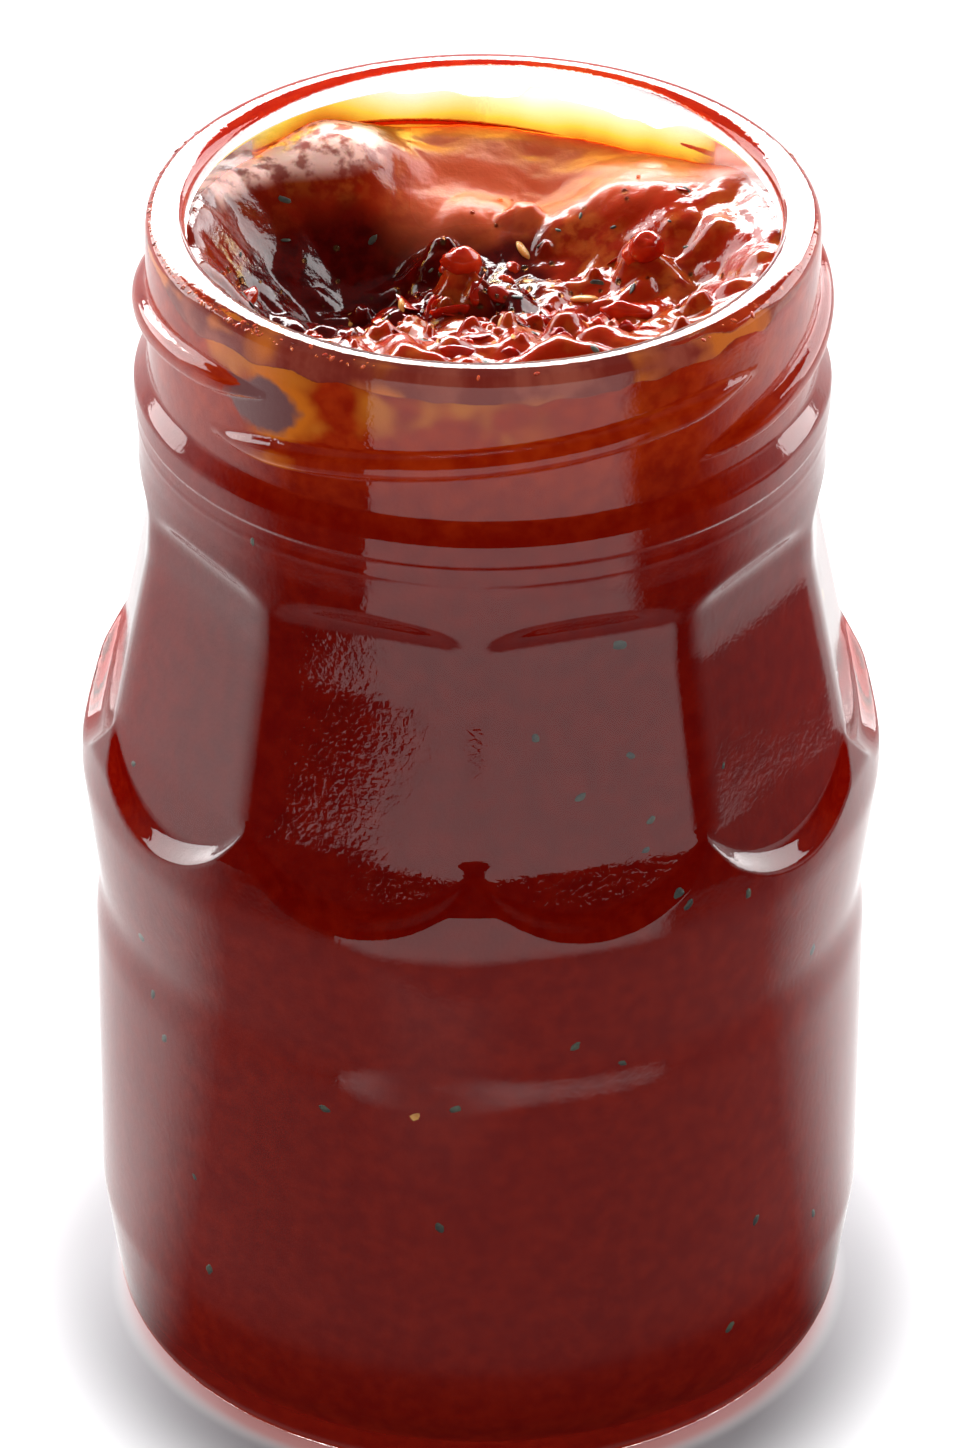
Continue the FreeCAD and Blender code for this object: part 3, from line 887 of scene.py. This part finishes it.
def oil_material(name, by_height):
    """Clear orange oil; the film is paler the higher it stands above the paste."""
    m, nodes, links = material(name)
    out = nodes.new("ShaderNodeOutputMaterial")
    shader = nodes.new("ShaderNodeBsdfPrincipled")
    shader.inputs["Roughness"].default_value = 0.05
    shader.inputs["IOR"].default_value = 1.2
    shader.inputs["Transmission Weight"].default_value = 1.0
    ramp = nodes.new("ShaderNodeValToRGB")
    elements = ramp.color_ramp.elements
    if by_height:
        height = nodes.new("ShaderNodeAttribute")
        height.attribute_name = "above_paste"
        q = Maths(m.node_tree)
        place = nodes.new("ShaderNodeTexCoord")
        patch = nodes.new("ShaderNodeTexNoise")
        patch.inputs["Scale"].default_value = 160
        links.new(place.outputs["Object"], patch.inputs["Vector"])
        uneven = q.do("MULTIPLY", q.do("SUBTRACT", patch.outputs["Fac"], 0.5), 1.2)
        links.new(q.do("DIVIDE", q.do("ADD", height.outputs["Fac"], uneven), 3.6), ramp.inputs["Fac"])
        elements[0].position, elements[0].color = 0.0, (0.42, 0.045, 0.004, 1)
        elements[1].position, elements[1].color = 1.0, (1.0, 0.98, 0.86, 1)
        for at, colour in ((0.16, (0.80, 0.26, 0.015, 1)), (0.38, (0.98, 0.62, 0.06, 1)),
                           (0.66, (1.0, 0.86, 0.38, 1))):
            elements.new(at).color = colour
    else:
        elements[0].color = (0.85, 0.30, 0.10, 1)
        elements[1].color = (0.95, 0.45, 0.18, 1)
    links.new(ramp.outputs["Color"], shader.inputs["Base Color"])
    links.new(shader.outputs["BSDF"], out.inputs["Surface"])
    return m


def smear_material():
    """Thin paste, pinkish where it is thin and orange in patches."""
    m, shader, place = paste_base("smeared_paste", 0.25, 0.0)
    q = Maths(m.node_tree)
    grain = q.ramp(cloud(m, place, 260, 4), 0.38, 0.62)
    patch = q.ramp(cloud(m, place, 120, 2), 0.54, 0.62)
    pink = tint(m, grain, (0.25, 0.028, 0.018), (0.42, 0.090, 0.055))
    m.node_tree.links.new(tint(m, patch, pink, (0.70, 0.17, 0.025)), shader.inputs["Base Color"])
    return m


glass.data.materials.append(glass_material())
for bit, look in (
    (seeds, plain_material("seed", (0.62, 0.24, 0.04), (0.80, 0.40, 0.10), 0.3, soft=0.3)),
    (skins, plain_material("skin", (0.16, 0.003, 0.001), (0.34, 0.012, 0.002), 0.12, 500, 0.2)),
    (herbs, plain_material("herb", (0.020, 0.020, 0.022), (0.075, 0.085, 0.050), 0.5)),
    (chunks, plain_material("soft_pepper", (0.30, 0.006, 0.001), (0.50, 0.035, 0.006), 0.12, 400, 0.6)),
    (beads, oil_material("oil_drop", False)),
    (film, oil_material("oil_on_glass", True)),
    (smear, smear_material()),
    (specks, plain_material("rim_oil", (0.20, 0.012, 0.004), (0.55, 0.09, 0.02), 0.2, 2500, 0.3)),
):
    bit.data.materials.append(look)
    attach(bit, "root")
paste.data.materials.append(top_material())
paste.data.materials.append(side_material())
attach(glass, "root")
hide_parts("glass_jar")
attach(paste, "root")
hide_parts("harissa")


# ------------------------------------------------------------------ floor, light and camera
def flat(name, corners, mat):
    """A stage piece of one rectangle, in metres."""
    mesh = bpy.data.meshes.new(name)
    mesh.from_pydata(corners, [], [(0, 1, 2, 3)])
    obj = bpy.data.objects.new(name, mesh)
    bpy.context.scene.collection.objects.link(obj)
    mesh.materials.append(mat)
    return obj


def floor_material():
    """Pale to the eye, with the jar's shadow, and a painted shadow close round the foot, where the glow fades. In
    reflections it shows a
    painted pattern of light: lit in front, at the sides and behind, dim close by, and dark, as painted shadows, in
    the two sectors where the shadows lie. Under the jar it glows dimly, which keeps the heel from going black."""
    m, nodes, links = material("pale_floor")
    q = Maths(m.node_tree)
    out = nodes.new("ShaderNodeOutputMaterial")
    shader = nodes.new("ShaderNodeBsdfPrincipled")
    shader.inputs["Base Color"].default_value = (0.30, 0.294, 0.31, 1)
    shader.inputs["Roughness"].default_value = 0.6
    path = nodes.new("ShaderNodeLightPath")
    seen = q.do("MAXIMUM", path.outputs["Is Camera Ray"], path.outputs["Is Transmission Ray"])
    glow = nodes.new("ShaderNodeEmission")
    add = nodes.new("ShaderNodeAddShader")
    links.new(shader.outputs["BSDF"], add.inputs[0])
    links.new(glow.outputs["Emission"], add.inputs[1])

    place = nodes.new("ShaderNodeTexCoord")
    split = nodes.new("ShaderNodeSeparateXYZ")
    links.new(place.outputs["Object"], split.inputs[0])
    x, y = split.outputs["X"], split.outputs["Y"]
    radius = q.length(x, y)
    azimuth = q.do("DEGREES", q.do("ARCTAN2", x, q.do("MULTIPLY", y, -1.0)))
    under = q.ramp(radius, 0.0300, 0.0322, 1.0, 0.0)
    scattered = path.outputs["Is Diffuse Ray"]
    inside = q.do("MULTIPLY", under, q.do("SUBTRACT", 1.0, scattered))
    links.new(tint(m, inside, (1.0, 1.0, 1.0), (0.50, 0.045, 0.012)), glow.inputs["Color"])
    # the glow fades close round the foot: a painted shadow
    glow_past_painted_shadow = q.ramp(radius, 0.0325, 0.046, 0.0, 0.80)
    level_seen = q.do("MULTIPLY", seen, q.do("MAXIMUM", glow_past_painted_shadow, q.do("MULTIPLY", under, 0.40)))
    level_scattered = q.do("MULTIPLY", scattered, q.do("MULTIPLY", under, 0.7))
    links.new(q.do("ADD", level_seen, level_scattered), glow.inputs["Strength"])
    # the pattern seen only in reflections: painted light and painted shadows on the floor
    shade_end = q.do("ADD", q.ramp(azimuth, -6.0, 20.0, 0.088, 0.108),
                     q.ramp(azimuth, -24.0, -40.0, 0.0, 0.035))
    front = q.ramp(q.do("SUBTRACT", radius, shade_end), -0.006, 0.046)
    left_edge = q.ramp(radius, 0.30, 0.39, -35.7, -33.6)
    front = q.do("MULTIPLY", front, q.ramp(q.do("SUBTRACT", azimuth, left_edge), -0.5, 0.5))
    front = q.do("MULTIPLY", front, q.ramp(azimuth, 43.0, 52.0, 1.2, 0.0))
    left = q.ramp(azimuth, -60.0, -94.0, 0.0, 1.15)
    far_shade = q.do("MULTIPLY", q.ramp(radius, 0.19, 0.215), q.ramp(azimuth, 112.0, 104.0, 0.0, 0.8))
    right = q.do("MULTIPLY", q.ramp(azimuth, 70.0, 112.0, 0.0, 1.3), q.do("SUBTRACT", 1.0, far_shade))
    near = q.do("MULTIPLY", q.ramp(radius, 0.036, 0.056), q.ramp(radius, 0.12, 0.17, 0.20, 0.0))
    lit = q.do("ADD", q.do("MAXIMUM", near, q.do("MAXIMUM", front, q.do("MAXIMUM", left, right))), 0.03)
    mirrored = nodes.new("ShaderNodeEmission")
    links.new(q.do("ADD", lit, q.do("MULTIPLY", under, 0.45)), mirrored.inputs["Strength"])
    links.new(tint(m, under, (1.0, 1.0, 1.0), (0.55, 0.055, 0.015)), mirrored.inputs["Color"])
    both = nodes.new("ShaderNodeMixShader")
    links.new(path.outputs["Is Glossy Ray"], both.inputs["Fac"])
    links.new(add.outputs["Shader"], both.inputs[1])
    links.new(mirrored.outputs["Emission"], both.inputs[2])
    links.new(both.outputs["Shader"], out.inputs["Surface"])
    return m


flat("floor", [(-1.5, -0.52, 0), (1.5, -0.52, 0), (1.5, 1.5, 0), (-1.5, 1.5, 0)], floor_material())

world = bpy.data.worlds.new("studio")
bpy.context.scene.world = world
world.use_nodes = True
wn, wl = world.node_tree.nodes, world.node_tree.links
wn.clear()
wq = Maths(world.node_tree)
w_out = wn.new("ShaderNodeOutputWorld")
w_bg = wn.new("ShaderNodeBackground")
w_bg.inputs["Color"].default_value = (1, 1, 1, 1)
w_path = wn.new("ShaderNodeLightPath")
w_place = wn.new("ShaderNodeTexCoord")
w_split = wn.new("ShaderNodeSeparateXYZ")
wl.new(w_place.outputs["Generated"], w_split.inputs[0])
behind = wq.ramp(w_split.outputs["Y"], -0.2, 0.2, 0.02, 1.0)
behind = wq.do("MULTIPLY", behind, wq.ramp(w_split.outputs["Z"], 0.12, 0.45, 1.0, 0.10))
w_soft = wq.ramp(w_split.outputs["Y"], 0.25, -0.25, 0.33, 0.72)
w_level = wq.mix(w_path.outputs["Is Glossy Ray"], w_soft, behind)
w_level = wq.mix(w_path.outputs["Is Transmission Ray"], w_level, 1.0)
w_level = wq.mix(w_path.outputs["Is Camera Ray"], w_level, 1.0)
wl.new(w_level, w_bg.inputs["Strength"])
wl.new(w_bg.outputs["Background"], w_out.inputs["Surface"])


def glowing_card_material():
    """A glowing card, seen only in reflections, that paints a soft highlight on the label panel: bright near the top
    and in the middle, fading to nothing at its edges.
    """
    m, nodes, links = material("glowing_reflection_card")
    q = Maths(m.node_tree)
    out = nodes.new("ShaderNodeOutputMaterial")
    light = nodes.new("ShaderNodeEmission")
    clear = nodes.new("ShaderNodeBsdfTransparent")
    mix = nodes.new("ShaderNodeMixShader")
    place = nodes.new("ShaderNodeTexCoord")
    split = nodes.new("ShaderNodeSeparateXYZ")
    links.new(place.outputs["Object"], split.inputs[0])
    x, z = split.outputs["X"], split.outputs["Z"]
    across = q.do("MULTIPLY", q.ramp(x, -0.0215, -0.0100), q.ramp(x, -0.006, 0.0075, 1.0, 0.0))
    tall = q.do("MULTIPLY", q.ramp(z, 0.016, 0.036), q.ramp(z, 0.0355, 0.0378, 1.0, 0.0))
    strength = q.do("MULTIPLY", across, tall)
    links.new(strength, mix.inputs["Fac"])
    light.inputs["Strength"].default_value = 0.36
    links.new(clear.outputs["BSDF"], mix.inputs[1])
    links.new(light.outputs["Emission"], mix.inputs[2])
    links.new(mix.outputs["Shader"], out.inputs["Surface"])
    return m


# a glowing card in front of the jar, seen only in reflections: a painted highlight on the label panel
card_left, card_right, card_foot, card_head, card_y = -0.022, 0.008, 0.015, 0.038, -0.045
card = flat("front_card", [(card_left, card_y, card_foot), (card_right, card_y, card_foot),
                           (card_right, card_y, card_head), (card_left, card_y, card_head)], glowing_card_material())
card.visible_camera = False
card.visible_diffuse = False
card.visible_shadow = False
card.visible_transmission = False


def area(name, place, target, width, tall, power):
    """A rectangular white lamp at a place, turned to a target."""
    data = bpy.data.lights.new(name, "AREA")
    data.shape = "RECTANGLE"
    data.size = width
    data.size_y = tall
    data.energy = power
    obj = bpy.data.objects.new(name, data)
    obj.location = place
    obj.rotation_euler = (Vector(target) - Vector(place)).to_track_quat("-Z", "Y").to_euler()
    bpy.context.scene.collection.objects.link(obj)


area("back_window", (-0.10, 1.0, 0.60), (0, 0, 0.09), 1.25, 0.45, 34)
area("side_window_left", (-0.95, 0.75, 0.55), (0, 0, 0.06), 0.9, 0.9, 14)
area("side_window_right", (0.95, 0.75, 0.55), (0, 0, 0.06), 0.9, 0.9, 14)

pitch = math.radians(32.5)
roll = math.radians(0.28)
distance = 0.703
focal, picture_height = 8420, 1448    # in the picture's own units
aim = Vector((0, 0, 0.0558))
forward = Vector((0, math.cos(pitch), -math.sin(pitch)))
up = Vector((0, math.sin(pitch), math.cos(pitch)))
right = Vector((1, 0, 0))
right_rolled = right * math.cos(roll) + up * math.sin(roll)
up_rolled = up * math.cos(roll) - right * math.sin(roll)
camera_data = bpy.data.cameras.new("camera")
camera_data.sensor_width = 36.0
camera_data.lens = focal / picture_height * camera_data.sensor_width
camera_data.shift_x = -1 / picture_height
camera_data.clip_start = 0.05
camera_data.clip_end = 10
camera = bpy.data.objects.new("camera", camera_data)
place = aim - forward * distance
camera.matrix_world = Matrix((
    (right_rolled.x, up_rolled.x, -forward.x, place.x),
    (right_rolled.y, up_rolled.y, -forward.y, place.y),
    (right_rolled.z, up_rolled.z, -forward.z, place.z),
    (0, 0, 0, 1)))
bpy.context.scene.collection.objects.link(camera)
bpy.context.scene.camera = camera

scene = bpy.context.scene
scene.view_settings.view_transform = "Standard"
scene.cycles.caustics_reflective = False
scene.cycles.caustics_refractive = False
scene.cycles.max_bounces = 16
scene.cycles.transmission_bounces = 12
scene.cycles.transparent_max_bounces = 16
